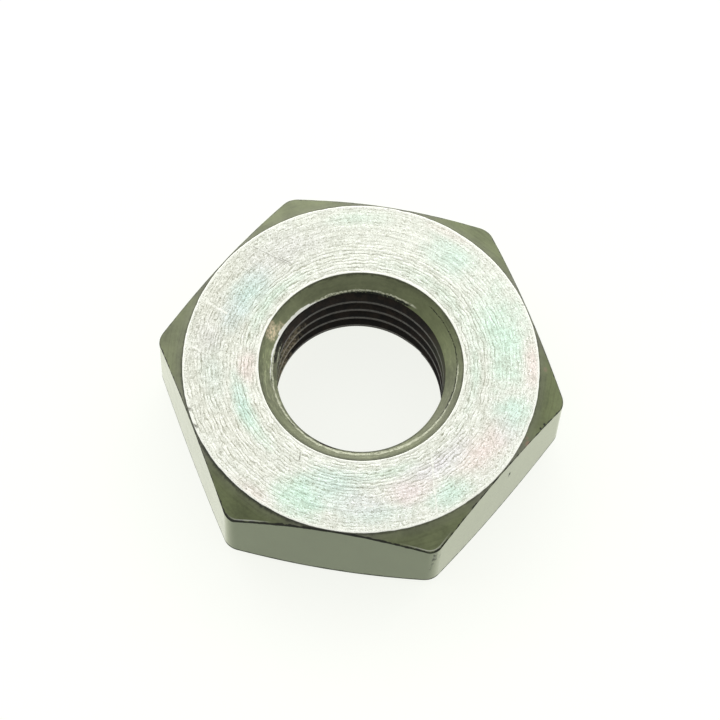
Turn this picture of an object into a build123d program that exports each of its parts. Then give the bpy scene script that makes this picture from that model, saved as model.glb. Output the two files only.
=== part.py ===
"""Hexagon thin nut with a fine thread, broad across its flats for its thread.

One solid of drawn hexagon bar, faced and chamfered at both ends on a lathe, drilled
and tapped right through, with a countersink at each mouth of the hole. The tapped
wall stands here as a plain bore at the thread's minor diameter.

The origin is the centre of the underside, on the axis of the thread. +Z is up along
that axis, and two of the hexagon's corners lie along X. Lengths are in millimetres
and angles in degrees.
"""

import os
from math import cos, radians, tan

from build123d import *

# Hexagon bar
flat_count = 6
across_flats = 19.0
nut_height = 6.0
corner_radius = 0.85

# Turned ends: each face is a disc that stops short of the flats by its inset,
# and a cone falls away from its rim at an angle to the face
top_face_inset = 0.1
top_chamfer_angle = 32.0
under_face_inset = 0.5
under_chamfer_angle = 30.0

# Thread: M10 x 1, its depth a share of the sharp triangle that its flanks would make
thread_diameter = 10.0
thread_pitch = 1.0
thread_angle = 60.0
thread_depth_share = 5 / 8

# Countersink at each mouth of the hole, a little wider than the thread
countersink_margin = 0.43
countersink_angle = 82.0

# Worked out from the sizes above
half_flats = across_flats / 2
corner_reach = half_flats / cos(radians(180 / flat_count))
top_face_radius = half_flats - top_face_inset
under_face_radius = half_flats - under_face_inset
top_chamfer_drop = (corner_reach - top_face_radius) * tan(radians(top_chamfer_angle))
under_chamfer_rise = (corner_reach - under_face_radius) * tan(radians(under_chamfer_angle))
thread_triangle = thread_pitch / 2 / tan(radians(thread_angle / 2))
thread_radius = thread_diameter / 2
bore_radius = thread_radius - thread_depth_share * thread_triangle
countersink_radius = thread_radius + countersink_margin

with BuildPart() as hex_nut:
    # length of drawn bar, its corners rounded as they leave the die
    with BuildSketch(Plane.XY) as bar_section:
        RegularPolygon(radius=half_flats, side_count=flat_count, major_radius=False)
        fillet(bar_section.vertices(), radius=corner_radius)
    extrude(amount=nut_height)

    # what the facing and chamfering tools leave of the bar
    with BuildSketch(Plane.XZ) as turned_section:
        with BuildLine():
            Polyline(
                (0, 0),
                (under_face_radius, 0),
                (corner_reach, under_chamfer_rise),
                (corner_reach, nut_height - top_chamfer_drop),
                (top_face_radius, nut_height),
                (0, nut_height),
                close=True,
            )
        make_face()
    revolve(axis=Axis.Z, mode=Mode.INTERSECT)

    # hole right through at the thread's minor diameter, countersunk from both faces
    top_face = Plane((0, 0, nut_height), z_dir=(0, 0, 1))
    under_face = Plane((0, 0, 0), z_dir=(0, 0, -1))
    with Locations(top_face, under_face):
        CounterSinkHole(
            radius=bore_radius,
            counter_sink_radius=countersink_radius,
            counter_sink_angle=countersink_angle,
        )

hex_nut.part.label = "hex_nut"

if __name__ == "__main__":
    os.makedirs("parts", exist_ok=True)
    export_step(hex_nut.part, "parts/hex_nut.step")
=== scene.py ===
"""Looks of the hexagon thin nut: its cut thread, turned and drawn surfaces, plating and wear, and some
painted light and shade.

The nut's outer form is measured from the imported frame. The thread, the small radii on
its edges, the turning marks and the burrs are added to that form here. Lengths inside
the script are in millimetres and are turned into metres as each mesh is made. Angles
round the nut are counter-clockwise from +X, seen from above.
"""

from math import atan2, cos, pi, radians, sin, tan

import bmesh
import bpy
import numpy as np
from bpy.props import FloatProperty, FloatVectorProperty, IntProperty, PointerProperty
from bpy.types import Operator, Panel, PropertyGroup
from mathutils import Matrix, Vector


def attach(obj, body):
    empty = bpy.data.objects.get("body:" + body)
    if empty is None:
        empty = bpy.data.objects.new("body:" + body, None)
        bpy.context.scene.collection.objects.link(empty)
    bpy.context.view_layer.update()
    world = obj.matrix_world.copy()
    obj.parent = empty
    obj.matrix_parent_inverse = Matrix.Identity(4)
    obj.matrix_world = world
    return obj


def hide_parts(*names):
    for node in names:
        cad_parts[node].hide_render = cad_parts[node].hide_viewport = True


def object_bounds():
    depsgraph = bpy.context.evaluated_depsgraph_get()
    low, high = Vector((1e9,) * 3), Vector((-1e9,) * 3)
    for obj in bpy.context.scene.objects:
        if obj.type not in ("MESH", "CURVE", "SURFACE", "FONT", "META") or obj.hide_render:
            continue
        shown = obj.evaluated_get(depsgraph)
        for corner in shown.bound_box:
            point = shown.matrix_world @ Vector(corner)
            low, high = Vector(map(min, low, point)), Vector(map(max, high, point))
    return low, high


bl_info = {
    "name": "Hexagon thin nut",
    "version": (1, 0, 0),
    "blender": (4, 5, 0),
    "location": "3D View > Sidebar > Thin nut",
    "description": "Builds a plated hexagon thin nut with a cut thread, and a pale stage for it",
    "category": "Add Mesh",
}

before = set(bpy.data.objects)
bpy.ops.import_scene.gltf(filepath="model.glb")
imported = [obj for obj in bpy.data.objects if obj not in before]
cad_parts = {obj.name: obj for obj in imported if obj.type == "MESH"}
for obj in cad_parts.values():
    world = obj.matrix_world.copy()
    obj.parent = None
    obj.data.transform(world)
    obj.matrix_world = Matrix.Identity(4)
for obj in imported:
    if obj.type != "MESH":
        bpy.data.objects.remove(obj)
CAD_BOX = [list(corner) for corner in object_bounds()]

NODE = "hex_nut"
BODY = "root"
MM = 0.001
FLAT_COUNT = 6
SECTOR = 2 * pi / FLAT_COUNT


class MeasuredNut:
    """The nut's outer form in millimetres, read from the vertices of its solid in the frame."""

    def __init__(self):
        co = np.array([v.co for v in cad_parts[NODE].data.vertices], float) / MM
        radius = np.hypot(co[:, 0], co[:, 1])
        near = 0.001
        self.height = co[:, 2].max()
        self.half_flats = co[:, 1].max()
        self.corner_reach = co[:, 0].max()
        on_top = radius[co[:, 2] > self.height - near]
        on_underside = radius[co[:, 2] < near]
        self.top_face_radius = on_top.max()
        self.under_face_radius = on_underside.max()
        self.mouth_radius = on_top.min()
        self.bore_radius = radius.min()
        corner_heights = co[radius > self.corner_reach - near, 2]
        top_run = self.corner_reach - self.top_face_radius
        under_run = self.corner_reach - self.under_face_radius
        self.top_chamfer_slope = (self.height - corner_heights.max()) / top_run
        self.under_chamfer_slope = corner_heights.min() / under_run
        bore_heights = co[radius < self.bore_radius + near, 2]
        self.countersink_slope = (self.mouth_radius - self.bore_radius) / bore_heights.min()
        sharp_reach = self.half_flats / cos(SECTOR / 2)
        self.corner_radius = (sharp_reach - self.corner_reach) / (1 / cos(SECTOR / 2) - 1)


nut = MeasuredNut()


def length_setting(name, description, millimetres):
    """A setting that holds a small length."""
    return FloatProperty(
        name=name, description=description, default=millimetres * MM, unit="LENGTH", precision=6
    )


def colour_setting(name, description, *parts):
    """A setting that holds a colour: its red, green and blue."""
    return FloatVectorProperty(
        name=name, description=description, default=parts, subtype="COLOR", min=0, max=1
    )


def angle_setting(name, description, degrees):
    """A setting that holds an angle."""
    return FloatProperty(
        name=name, description=description, default=radians(degrees), subtype="ANGLE"
    )


def light_setting(name, description, strength):
    """A setting that holds the strength of a light."""
    return FloatProperty(name=name, description=description, default=strength, min=0)


class ThinNutSizes(PropertyGroup):
    """Sizes that the solid leaves out: the thread and the small radii on the edges."""

    thread_pitch: length_setting("Thread pitch", "Rise of the thread in one turn", 1.0)
    thread_angle: angle_setting("Thread angle", "Angle between the two flanks of the groove", 60)
    root_width: length_setting("Root width", "Width of the flat at the bottom of the groove", 0.056)
    crest_width: length_setting(
        "Crest width", "Width of the flat that the drill leaves between two turns of the groove", 0.25
    )
    thread_start: length_setting(
        "Thread start", "Height of the groove above the underside at the corner on +X", 0.57
    )
    edge_radius: length_setting(
        "Edge radius", "Radius that tumbling and plating leave on every outer edge", 0.05
    )
    turning_depth: length_setting(
        "Turning depth", "Height of the ridges that the facing tool leaves", 0.004
    )
    burr_height: length_setting(
        "Burr height", "Most that the lip stands proud where the thread leaves the countersink", 0.09
    )
    seed: IntProperty(
        name="Seed", description="Number that the random marks and nicks start from", default=19
    )


class ThinNutFinish(PropertyGroup):
    """Colours of the plating and of what shows through it, some also used for painted light and shade.
    """

    face_colour: colour_setting("Turned face", "Bright, matt turned faces", 0.79, 0.81, 0.735)
    mint_colour: colour_setting("Mint tint", "First tint of the faces' thin film", 0.64, 0.83, 0.70)
    pink_colour: colour_setting("Pink tint", "Second tint of the thin film", 0.84, 0.745, 0.70)
    lilac_colour: colour_setting("Lilac tint", "Third tint of the thin film", 0.775, 0.755, 0.765)
    cyan_colour: colour_setting("Cyan tint", "Fourth tint of the thin film", 0.645, 0.79, 0.735)
    tan_colour: colour_setting("Tan tint", "Fifth tint of the thin film", 0.755, 0.745, 0.66)
    # bare metal of rubbed edges and burrs, and painted highlights of lips on two corners
    bare_and_highlight_colour: colour_setting("Rubbed edges", "Edges and burrs rubbed bright", 0.93, 0.94, 0.88)
    scratch_colour: colour_setting("Dark scratches", "Dark scratches on the faces", 0.30, 0.30, 0.26)
    olive_colour: colour_setting("Olive film", "Chamfers and countersinks", 0.18, 0.20, 0.112)
    green_film_colour: colour_setting("Green film", "Greener parts of the film", 0.156, 0.186, 0.080)
    grey_film_colour: colour_setting("Grey film", "Greyer parts of the film", 0.165, 0.172, 0.122)
    beige_colour: colour_setting("Beige flecks", "Where the film has come off", 0.92, 0.78, 0.54)
    stain_colour: colour_setting("Stains", "Rust-brown stains", 0.26, 0.18, 0.125)
    # painted highlights along the countersink's lower edge, and the burr's bare metal
    lip_and_highlight_colour: colour_setting("Light lines", "Lines where a countersink ends", 0.66, 0.68, 0.52)
    # dirt, and painted shade in creases, in the groove, beside the rim and mouth and along edges
    dirt_and_shade_colour: colour_setting("Dirt", "Dark lines and specks along edges", 0.016, 0.018, 0.012)
    flat_colour: colour_setting("Drawn flats", "Flats and rounded corners", 0.082, 0.106, 0.063)
    coat_tint: colour_setting("Gloss film", "Tint of the flats' glossy film", 0.97, 0.985, 0.80)
    gloss_tint: colour_setting("Gloss tint", "Tint of the flats' gloss below the film", 0.92, 0.97, 0.68)
    thread_colour: colour_setting("Thread wall", "Dark wall of the thread", 0.010, 0.009, 0.007)
    thread_dirt_colour: colour_setting("Thread dirt", "Dirt in the thread", 0.035, 0.024, 0.016)
    # paler crests: smoother metal, and a painted reflection of the light on them
    crest_and_glint_colour: colour_setting("Thread crests", "Narrow, smooth crests", 0.075, 0.068, 0.054)
    # film at the groove's end, and the olive tone of the painted shade on the thread's top turn
    thread_film_and_shade_colour: colour_setting("Thread film", "Film on the groove's end", 0.17, 0.18, 0.11)
    thread_stain_colour: colour_setting("Thread stains", "Stains inside the thread", 0.35, 0.30, 0.20)


class ThinNutStage(PropertyGroup):
    """Light and ground round the nut."""

    floor_colour: colour_setting("Floor", "Colour of the plain pale ground", 0.21, 0.21, 0.205)
    floor_glow: light_setting("Floor glow", "Light that the white ground gives by itself", 0.84)
    glow_colour: colour_setting("Glow colour", "Colour of the ground's own light", 0.985, 1.0, 0.95)
    light_colour: colour_setting("Light colour", "Colour of the soft light", 1.0, 1.0, 0.98)
    sky_strength: light_setting("Sky strength", "Brightness of the soft light overhead", 0.54)
    back_strength: light_setting("Back strength", "Brightness of the light low behind the nut", 2.1)
    front_strength: light_setting("Front strength", "Brightness of the light in front", 0.42)
    back_azimuth: angle_setting(
        "Back azimuth", "Direction of the brightest light, counter-clockwise from +X", 100
    )


def turns(angles):
    """Angles as shares of a turn, from 0 up to 1."""
    return np.mod(angles / (2 * pi), 1)


def corner_sizes():
    """Distance of the centre of a corner's arc from the axis, and half the angle it spans."""
    centre = (nut.half_flats - nut.corner_radius) / cos(SECTOR / 2)
    side = nut.corner_radius * sin(SECTOR / 2)
    return centre, atan2(side, centre + nut.corner_radius * cos(SECTOR / 2))


def column_angles():
    """Angles of the mesh's columns from +X on: close together round corners, wider along flats."""
    flat_steps = 52
    corner_steps = 16
    half_corner = corner_sizes()[1]
    corner = np.linspace(-half_corner, half_corner, corner_steps, endpoint=False)
    flat = np.linspace(half_corner, SECTOR - half_corner, flat_steps, endpoint=False)
    sector = np.concatenate([corner, flat])
    angles = np.concatenate([sector + SECTOR * i for i in range(FLAT_COUNT)])
    return np.sort(np.mod(np.round(angles, 9), 2 * pi))


def outline_reach(angles):
    """Distance from the axis to the hexagon's outline, its corners rounded, at each angle."""
    off_corner = np.mod(angles + SECTOR / 2, SECTOR) - SECTOR / 2
    flat = nut.half_flats / np.cos(SECTOR / 2 - np.abs(off_corner))
    centre, half_corner = corner_sizes()
    under_root = nut.corner_radius**2 - (centre * np.sin(off_corner)) ** 2
    arc = centre * np.cos(off_corner) + np.sqrt(np.maximum(under_root, 0))
    return np.where(np.abs(off_corner) < half_corner, arc, flat)


def smooth_noise(rng, count, spread):
    """Random values round a closed ring, smoothed over the given number of columns, from -1 to 1."""
    raw = rng.uniform(-1, 1, count)
    reach = np.minimum(np.arange(count), count - np.arange(count))
    weights = np.exp(-0.5 * (reach / spread) ** 2)
    blurred = np.real(np.fft.ifft(np.fft.fft(raw) * np.fft.fft(weights)))
    return blurred / np.abs(blurred).max()


def stretch(angles, first, last, fade):
    """1 between two angles in degrees and 0 elsewhere, fading in and out over that many degrees."""
    past = np.mod(np.degrees(angles) - first, 360)
    return np.clip(np.minimum(past, last - first - past) / fade, 0, 1)


def rounded_edge(before, edge, after, radius, steps):
    """Points round a small arc in place of an edge, between the surfaces on its two sides."""
    back = before - edge
    ahead = after - edge
    back_length = np.linalg.norm(back, axis=1, keepdims=True)
    ahead_length = np.linalg.norm(ahead, axis=1, keepdims=True)
    cos_inside = np.sum(back * ahead, axis=1, keepdims=True) / back_length / ahead_length
    cut = radius * np.sqrt((1 + cos_inside) / (1 - cos_inside))
    cut = np.minimum(cut, 0.4 * np.minimum(back_length, ahead_length))
    start = edge + back / back_length * cut
    end = edge + ahead / ahead_length * cut
    shares = np.linspace(0, 1, steps + 1)
    return [start * (1 - t) ** 2 + edge * 2 * t * (1 - t) + end * t**2 for t in shares]


def rows_between(start, end, count, near_start, near_end):
    """Points between two rows: some at set distances from the two ends, and even ones between."""
    length = np.linalg.norm(end - start, axis=1, keepdims=True)
    most = (0.2, 0.45)  # of the length, where the rows are close together
    first = [np.minimum(near / length, share) for near, share in zip(near_start, most)]
    last = [1 - np.minimum(near / length, share) for near, share in zip(near_end, most)]
    even = np.linspace(0, 1, count + 2)[1:-1]
    middle = [first[-1] * (1 - t) + last[-1] * t for t in even]
    return [start * (1 - share) + end * share for share in (*first, *middle, *reversed(last))]


class NutSkin:
    """The outside of the nut as rows of points, from the mouth of the hole on top to the one below."""

    FACE_ROWS = 52
    CHAMFER_ROWS = 5
    FLAT_ROWS = 7
    UNDER_CHAMFER_ROWS = 4
    UNDER_FACE_ROWS = 24
    # rows that hold an edge's shape, this far from it, and the reach of wear, painted shade and painted
    # highlights along an arris
    HOLD = (0.03,)
    ARRIS_REACH = 0.22
    ARRIS_HOLD = (0.03, ARRIS_REACH)
    EDGE_STEPS = 4
    # nicks in the face's rim, and how far the rim and the chamfers' edges wander
    NICK_LEVEL = 0.45
    NICK_DEPTH = 0.06
    RIM_WANDER = 0.012
    ARRIS_WANDER = 0.01

    def __init__(self, angles, sizes):
        self.angles = angles
        self.rng = np.random.default_rng(sizes.seed)
        self.edge_radius = sizes.edge_radius / MM
        self.turning_depth = sizes.turning_depth / MM
        self.rows = []
        self.zones = []
        self.rubbed = []
        self.arris = []
        self.build()

    def add(self, rows, zone, rubbed=0.0, edge=None):
        """Adds rows of points, the finish of the band that starts at each, its edge wear and its
        nearness to an arris.
        """
        for row in rows:
            self.rows.append(row)
            self.zones.append(zone)
            self.rubbed.append(np.full(len(self.angles), rubbed))
            if edge is None:
                nearness = np.zeros(len(self.angles))
            else:
                nearness = 1 - np.linalg.norm(row - edge, axis=1) / self.ARRIS_REACH
            self.arris.append(np.clip(nearness, 0, 1))

    def point(self, radius, height):
        """One row of points from a radius and a height, each a number or one number a column."""
        return np.stack([radius + 0 * self.angles, height + 0 * self.angles], axis=1)

    def build(self):
        """Lays out the corners of the section at each column, then the rows between them."""
        count = len(self.angles)
        reach = outline_reach(self.angles)
        nicks = np.maximum(smooth_noise(self.rng, count, 1.2) - self.NICK_LEVEL, 0)
        rim_wander = self.RIM_WANDER * smooth_noise(self.rng, count, 2.5)
        rim = nut.top_face_radius + (rim_wander - self.NICK_DEPTH * nicks)
        top_arris = nut.height - (reach - rim) * nut.top_chamfer_slope
        arris_wander = self.ARRIS_WANDER * smooth_noise(self.rng, count, 1.5)
        under_arris = (reach - nut.under_face_radius) * nut.under_chamfer_slope
        depth = 0.5 * nut.height
        mouth_back = nut.mouth_radius - depth * nut.countersink_slope
        corners = [
            self.point(mouth_back, nut.height - depth),
            self.point(nut.mouth_radius, nut.height),
            self.point(rim, nut.height),
            self.point(reach, top_arris + arris_wander),
            self.point(reach, under_arris - arris_wander),
            self.point(nut.under_face_radius, 0.0),
            self.point(nut.mouth_radius, 0.0),
            self.point(mouth_back, depth),
        ]
        mouth, top_rim, top_edge, low_edge, under_rim, under_mouth = (
            rounded_edge(before, edge, after, self.edge_radius, self.EDGE_STEPS)
            for before, edge, after in zip(corners, corners[1:], corners[2:])
        )
        top = corners[3]
        low = corners[4]
        hold = self.HOLD
        arris_hold = self.ARRIS_HOLD
        chamfer = rows_between(top_rim[-1], top_edge[0], self.CHAMFER_ROWS, hold, arris_hold)
        flat = rows_between(top_edge[-1], low_edge[0], self.FLAT_ROWS, arris_hold, arris_hold)
        under = rows_between(low_edge[-1], under_rim[0], self.UNDER_CHAMFER_ROWS, arris_hold, hold)
        self.add(mouth[:2], "olive")
        self.add(mouth[2:], "turned_face", rubbed=1.0)
        self.add(self.turned(mouth[-1], top_rim[0], self.FACE_ROWS), "turned_face")
        self.add(top_rim[:-1], "turned_face", rubbed=1.0)
        self.add(top_rim[-1:], "olive", rubbed=0.6)
        self.add(chamfer, "olive", edge=top)
        self.add(top_edge[:2], "olive", edge=top)
        self.add(top_edge[2:], "flats", edge=top)
        self.add(flat[: len(flat) // 2], "flats", edge=top)
        self.add(flat[len(flat) // 2 :], "flats", edge=low)
        self.add(low_edge[:2], "flats", edge=low)
        self.add(low_edge[2:], "olive", edge=low)
        self.add(under, "olive", edge=low)
        self.add(under_rim, "turned_face", rubbed=1.0)
        self.add(self.turned(under_rim[-1], under_mouth[0], self.UNDER_FACE_ROWS), "turned_face")
        self.add(under_mouth[:-2], "turned_face", rubbed=1.0)
        self.add(under_mouth[-2:], "olive")

    def turned(self, start, end, count):
        """Rings of a turned face, each a little high or low along parts of its round."""
        rows = rows_between(start, end, count, self.HOLD, self.HOLD)
        outwards = 1 if start[0, 1] > 0 else -1
        for row in rows[1:-1]:
            ring = self.rng.uniform(-1, 1)
            parts = 0.6 * smooth_noise(self.rng, len(self.angles), 14)
            row[:, 1] += outwards * self.turning_depth * (ring + parts - 1)
        return rows


class NutHole:
    """The countersunk and threaded hole, as rows of points that climb with the thread."""

    FLANK_ROWS = 5
    # angle from which the film runs on over the top turn of the groove
    FILM_FROM = -166
    # a row this close to an end of the wall is joined to the skin there
    CLOSE = 0.012
    # a groove cut less than this into the countersink still counts as countersink
    TOUCH = 0.0005
    # first and last angle of the burr and of its rubbed part, and their fade, in degrees
    BURR_SPAN = (100, 208, 36)
    RUBBED_SPAN = (118, 206, 14)
    # how far the burr leans into the hole and rises, as shares of its height
    BURR_INWARDS = 0.7
    BURR_UPWARDS = 0.5

    def __init__(self, angles, sizes, low, high):
        self.angles = angles
        self.low = low
        self.high = high
        self.pitch = sizes.thread_pitch / MM
        self.start = sizes.thread_start / MM
        self.half_root = sizes.root_width / MM / 2
        self.half_crest = sizes.crest_width / MM / 2
        self.flank_slope = 1 / tan(sizes.thread_angle / 2)
        self.crest_from_root = self.pitch / 2 - self.half_crest
        flank_width = self.crest_from_root - self.half_root
        self.root_radius = nut.bore_radius + flank_width * self.flank_slope
        self.rng = np.random.default_rng(sizes.seed + 1)
        self.burr_height = sizes.burr_height / MM
        self.build()

    def cone(self, heights):
        """Radius of whichever countersink is wider at a height."""
        from_face = np.minimum(heights, nut.height - heights)
        return nut.mouth_radius - from_face * nut.countersink_slope

    def cut(self, heights, columns):
        """Radius of the drilled and threaded wall at a height, with no countersink."""
        root = self.start + turns(self.angles)[columns] * self.pitch
        off_root = np.abs(np.mod(heights - root + self.pitch / 2, self.pitch) - self.pitch / 2)
        groove = self.root_radius - np.maximum(off_root - self.half_root, 0) * self.flank_slope
        return np.maximum(groove, nut.bore_radius)

    def build(self):
        """Lays the rows of each turn at every column and sets their radii."""
        flank = np.linspace(self.half_root, self.crest_from_root, self.FLANK_ROWS + 1)
        one_turn = np.concatenate([-flank[::-1], flank, [self.pitch / 2]])
        self.rows_a_turn = len(one_turn)
        first_turn = -3
        turns_climbed = first_turn + np.arange(int(nut.height / self.pitch) + 6)
        offsets = np.concatenate([one_turn + turn * self.pitch for turn in turns_climbed])
        columns = np.arange(len(self.angles))
        root = self.start + turns(self.angles) * self.pitch
        heights = root[:, None] + offsets[None, :]
        self.at_low = heights < self.low + self.CLOSE
        self.at_high = heights > self.high - self.CLOSE
        heights = np.clip(heights, self.low, self.high)
        self.crease = np.zeros(heights.shape, bool)
        column_grid = np.repeat(columns[:, None], heights.shape[1], axis=1)
        self.snap(heights, column_grid)
        cone = self.cone(heights)
        cut = self.cut(heights, column_grid)
        self.on_cone = cone > cut - self.TOUCH
        self.heights = heights
        self.radii = np.maximum(cone, cut)
        self.raise_burr()

    def snap(self, heights, column_grid):
        """Moves the nearest row on to the line where the countersink meets the thread."""
        gap = self.cone(heights) - self.cut(heights, column_grid)
        crosses = gap[:, :-1] * gap[:, 1:] < 0
        inside = ~(self.at_low | self.at_high)
        for column, row in zip(*np.nonzero(crosses)):
            share = gap[column, row] / (gap[column, row] - gap[column, row + 1])
            nearest = row if share < 0.5 else row + 1
            if inside[column, nearest] and not self.crease[column, nearest]:
                step = heights[column, row + 1] - heights[column, row]
                heights[column, nearest] = heights[column, row] + share * step
                self.crease[column, nearest] = True

    def raise_burr(self):
        """Rolls up a ragged lip on the crease below the countersink, round part of the hole."""
        ragged = 0.88 + 0.18 * smooth_noise(self.rng, len(self.angles), 3)
        proud = stretch(self.angles, *self.BURR_SPAN) * ragged
        lip = self.crease & (self.heights > nut.height / 2)
        below = np.zeros(lip.shape, bool)
        below[:, :-1] = self.on_cone[:, 1:] & ~self.on_cone[:, :-1]
        lip_edge = lip & (below | np.roll(below, 1, axis=1))
        lift = np.where(lip_edge, self.burr_height * proud[:, None], 0)
        lift[:, 1:] += 0.5 * lift[:, :-1]
        self.radii = self.radii - lift * self.BURR_INWARDS
        self.heights = self.heights + lift * self.BURR_UPWARDS
        bright = stretch(self.angles, *self.RUBBED_SPAN)
        ragged_bright = bright * (0.95 + 0.25 * smooth_noise(self.rng, len(self.angles), 2))
        above = np.where(lip_edge, (ragged_bright * np.clip(proud * 2 - 0.9, 0, 1))[:, None], 0)
        self.rubbed = np.where(lip, ragged_bright[:, None], 0)
        self.rubbed[:, 1:] = np.maximum(self.rubbed[:, 1:], above[:, :-1])

    def filmed(self, column, row):
        """True where the olive film reaches below the cone: on the first turn of the groove."""
        turn = (np.degrees(self.angles[column]) + 180) % 360 - 180
        top_turn = int((nut.height - self.start) / self.pitch)
        root = self.start + (top_turn + turn / 360) * self.pitch
        film_end = root - self.crest_from_root - 0.01
        return turn > self.FILM_FROM and self.heights[column, row] > film_end


ZONES = ("turned_face", "olive", "flats", "thread")


class NutMesh:
    """Joins the skin and the hole into one closed mesh."""

    SHARP_ANGLE = radians(32)

    def __init__(self, sizes):
        self.angles = column_angles()
        self.count = len(self.angles)
        self.skin = NutSkin(self.angles, sizes)
        high = self.skin.rows[0][0, 1]
        low = self.skin.rows[-1][0, 1]
        self.hole = NutHole(self.angles, sizes, low, high)
        self.points = []
        self.faces = []
        self.face_zones = []
        self.rubbed = []
        self.arris = []
        self.add_skin()
        self.add_hole()

    def place(self, radii, heights, angles):
        """Points from their radii, heights and angles."""
        return np.stack([radii * np.cos(angles), radii * np.sin(angles), heights], axis=-1)

    def add_skin(self):
        """Adds the points of the skin's rows and the quads between them."""
        for row, rubbed, arris in zip(self.skin.rows, self.skin.rubbed, self.skin.arris):
            self.points.extend(self.place(row[:, 0], row[:, 1], self.angles))
            self.rubbed.extend(rubbed)
            self.arris.extend(arris)
        for i, zone in enumerate(self.skin.zones[:-1]):
            for j in range(self.count):
                after = (j + 1) % self.count
                upper = i * self.count
                lower = upper + self.count
                self.faces.append((upper + j, lower + j, lower + after, upper + after))
                self.face_zones.append(ZONES.index(zone))

    def add_hole(self):
        """Adds the wall's points, its ends shared with the skin, and the faces between them."""
        hole = self.hole
        row_count = hole.heights.shape[1]
        last_skin_row = (len(self.skin.rows) - 1) * self.count
        ids = np.zeros((self.count + 1, row_count + hole.rows_a_turn), int)
        for j in range(self.count):
            for k in range(row_count):
                if hole.at_high[j, k]:
                    ids[j, k] = j
                elif hole.at_low[j, k]:
                    ids[j, k] = last_skin_row + j
                else:
                    ids[j, k] = len(self.points)
                    wall = hole.radii[j, k], hole.heights[j, k]
                    self.points.append(self.place(*wall, self.angles[j]))
                    self.rubbed.append(hole.rubbed[j, k])
                    self.arris.append(0.0)
            ids[j, row_count:] = j
        ids[self.count, :row_count] = ids[0, hole.rows_a_turn :]
        for j in range(self.count):
            for k in range(row_count - 1):
                self.add_wall_face(ids, j, k)

    def add_wall_face(self, ids, j, k):
        """One quad of the wall, or two triangles where the crease runs across it."""
        hole = self.hole
        corners = [ids[j, k], ids[j + 1, k], ids[j + 1, k + 1], ids[j, k + 1]]
        if len(set(corners)) < 3:
            return
        after = (j + 1) % self.count
        shift = hole.rows_a_turn if j + 1 == self.count else 0
        last = hole.heights.shape[1] - 1
        lower = min(k + shift, last)
        upper = min(k + 1 + shift, last)
        places = [(j, k), (after, lower), (after, upper), (j, k + 1)]
        on_cone = [bool(hole.on_cone[place]) for place in places]
        filmed = all(hole.filmed(*place) for place in places)
        crease = [bool(hole.crease[place]) for place in places]
        if len(set(corners)) < 4:
            parts = [(0, 1, 2, 3)]
        elif crease[0] and crease[2]:
            parts = [(0, 1, 2), (0, 2, 3)]
        elif crease[1] and crease[3]:
            parts = [(0, 1, 3), (1, 2, 3)]
        else:
            parts = [(0, 1, 2, 3)]
        for part in parts:
            face = list(dict.fromkeys(corners[i] for i in part))
            zone = "olive" if filmed or all(on_cone[i] for i in part) else "thread"
            self.faces.append(face)
            self.face_zones.append(ZONES.index(zone))

    def make(self, name, materials):
        """The finished object, in metres, its faces turned outwards."""
        mesh = bpy.data.meshes.new(name)
        points = (np.array(self.points) * MM).tolist()
        mesh.from_pydata(points, [], [[int(i) for i in face] for face in self.faces])
        for material in materials:
            mesh.materials.append(material)
        mesh.polygons.foreach_set("material_index", self.face_zones)
        for label, values in (("rubbed", self.rubbed), ("arris", self.arris)):
            attribute = mesh.attributes.new(label, "FLOAT", "POINT")
            attribute.data.foreach_set("value", np.array(values, np.float32))
        work = bmesh.new()
        work.from_mesh(mesh)
        bmesh.ops.recalc_face_normals(work, faces=work.faces)
        work.to_mesh(mesh)
        work.free()
        mesh.polygons.foreach_set("use_smooth", [True] * len(mesh.polygons))
        mesh.set_sharp_from_angle(angle=self.SHARP_ANGLE)
        mesh.validate()
        piece = bpy.data.objects.new(name, mesh)
        bpy.context.scene.collection.objects.link(piece)
        return piece


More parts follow.
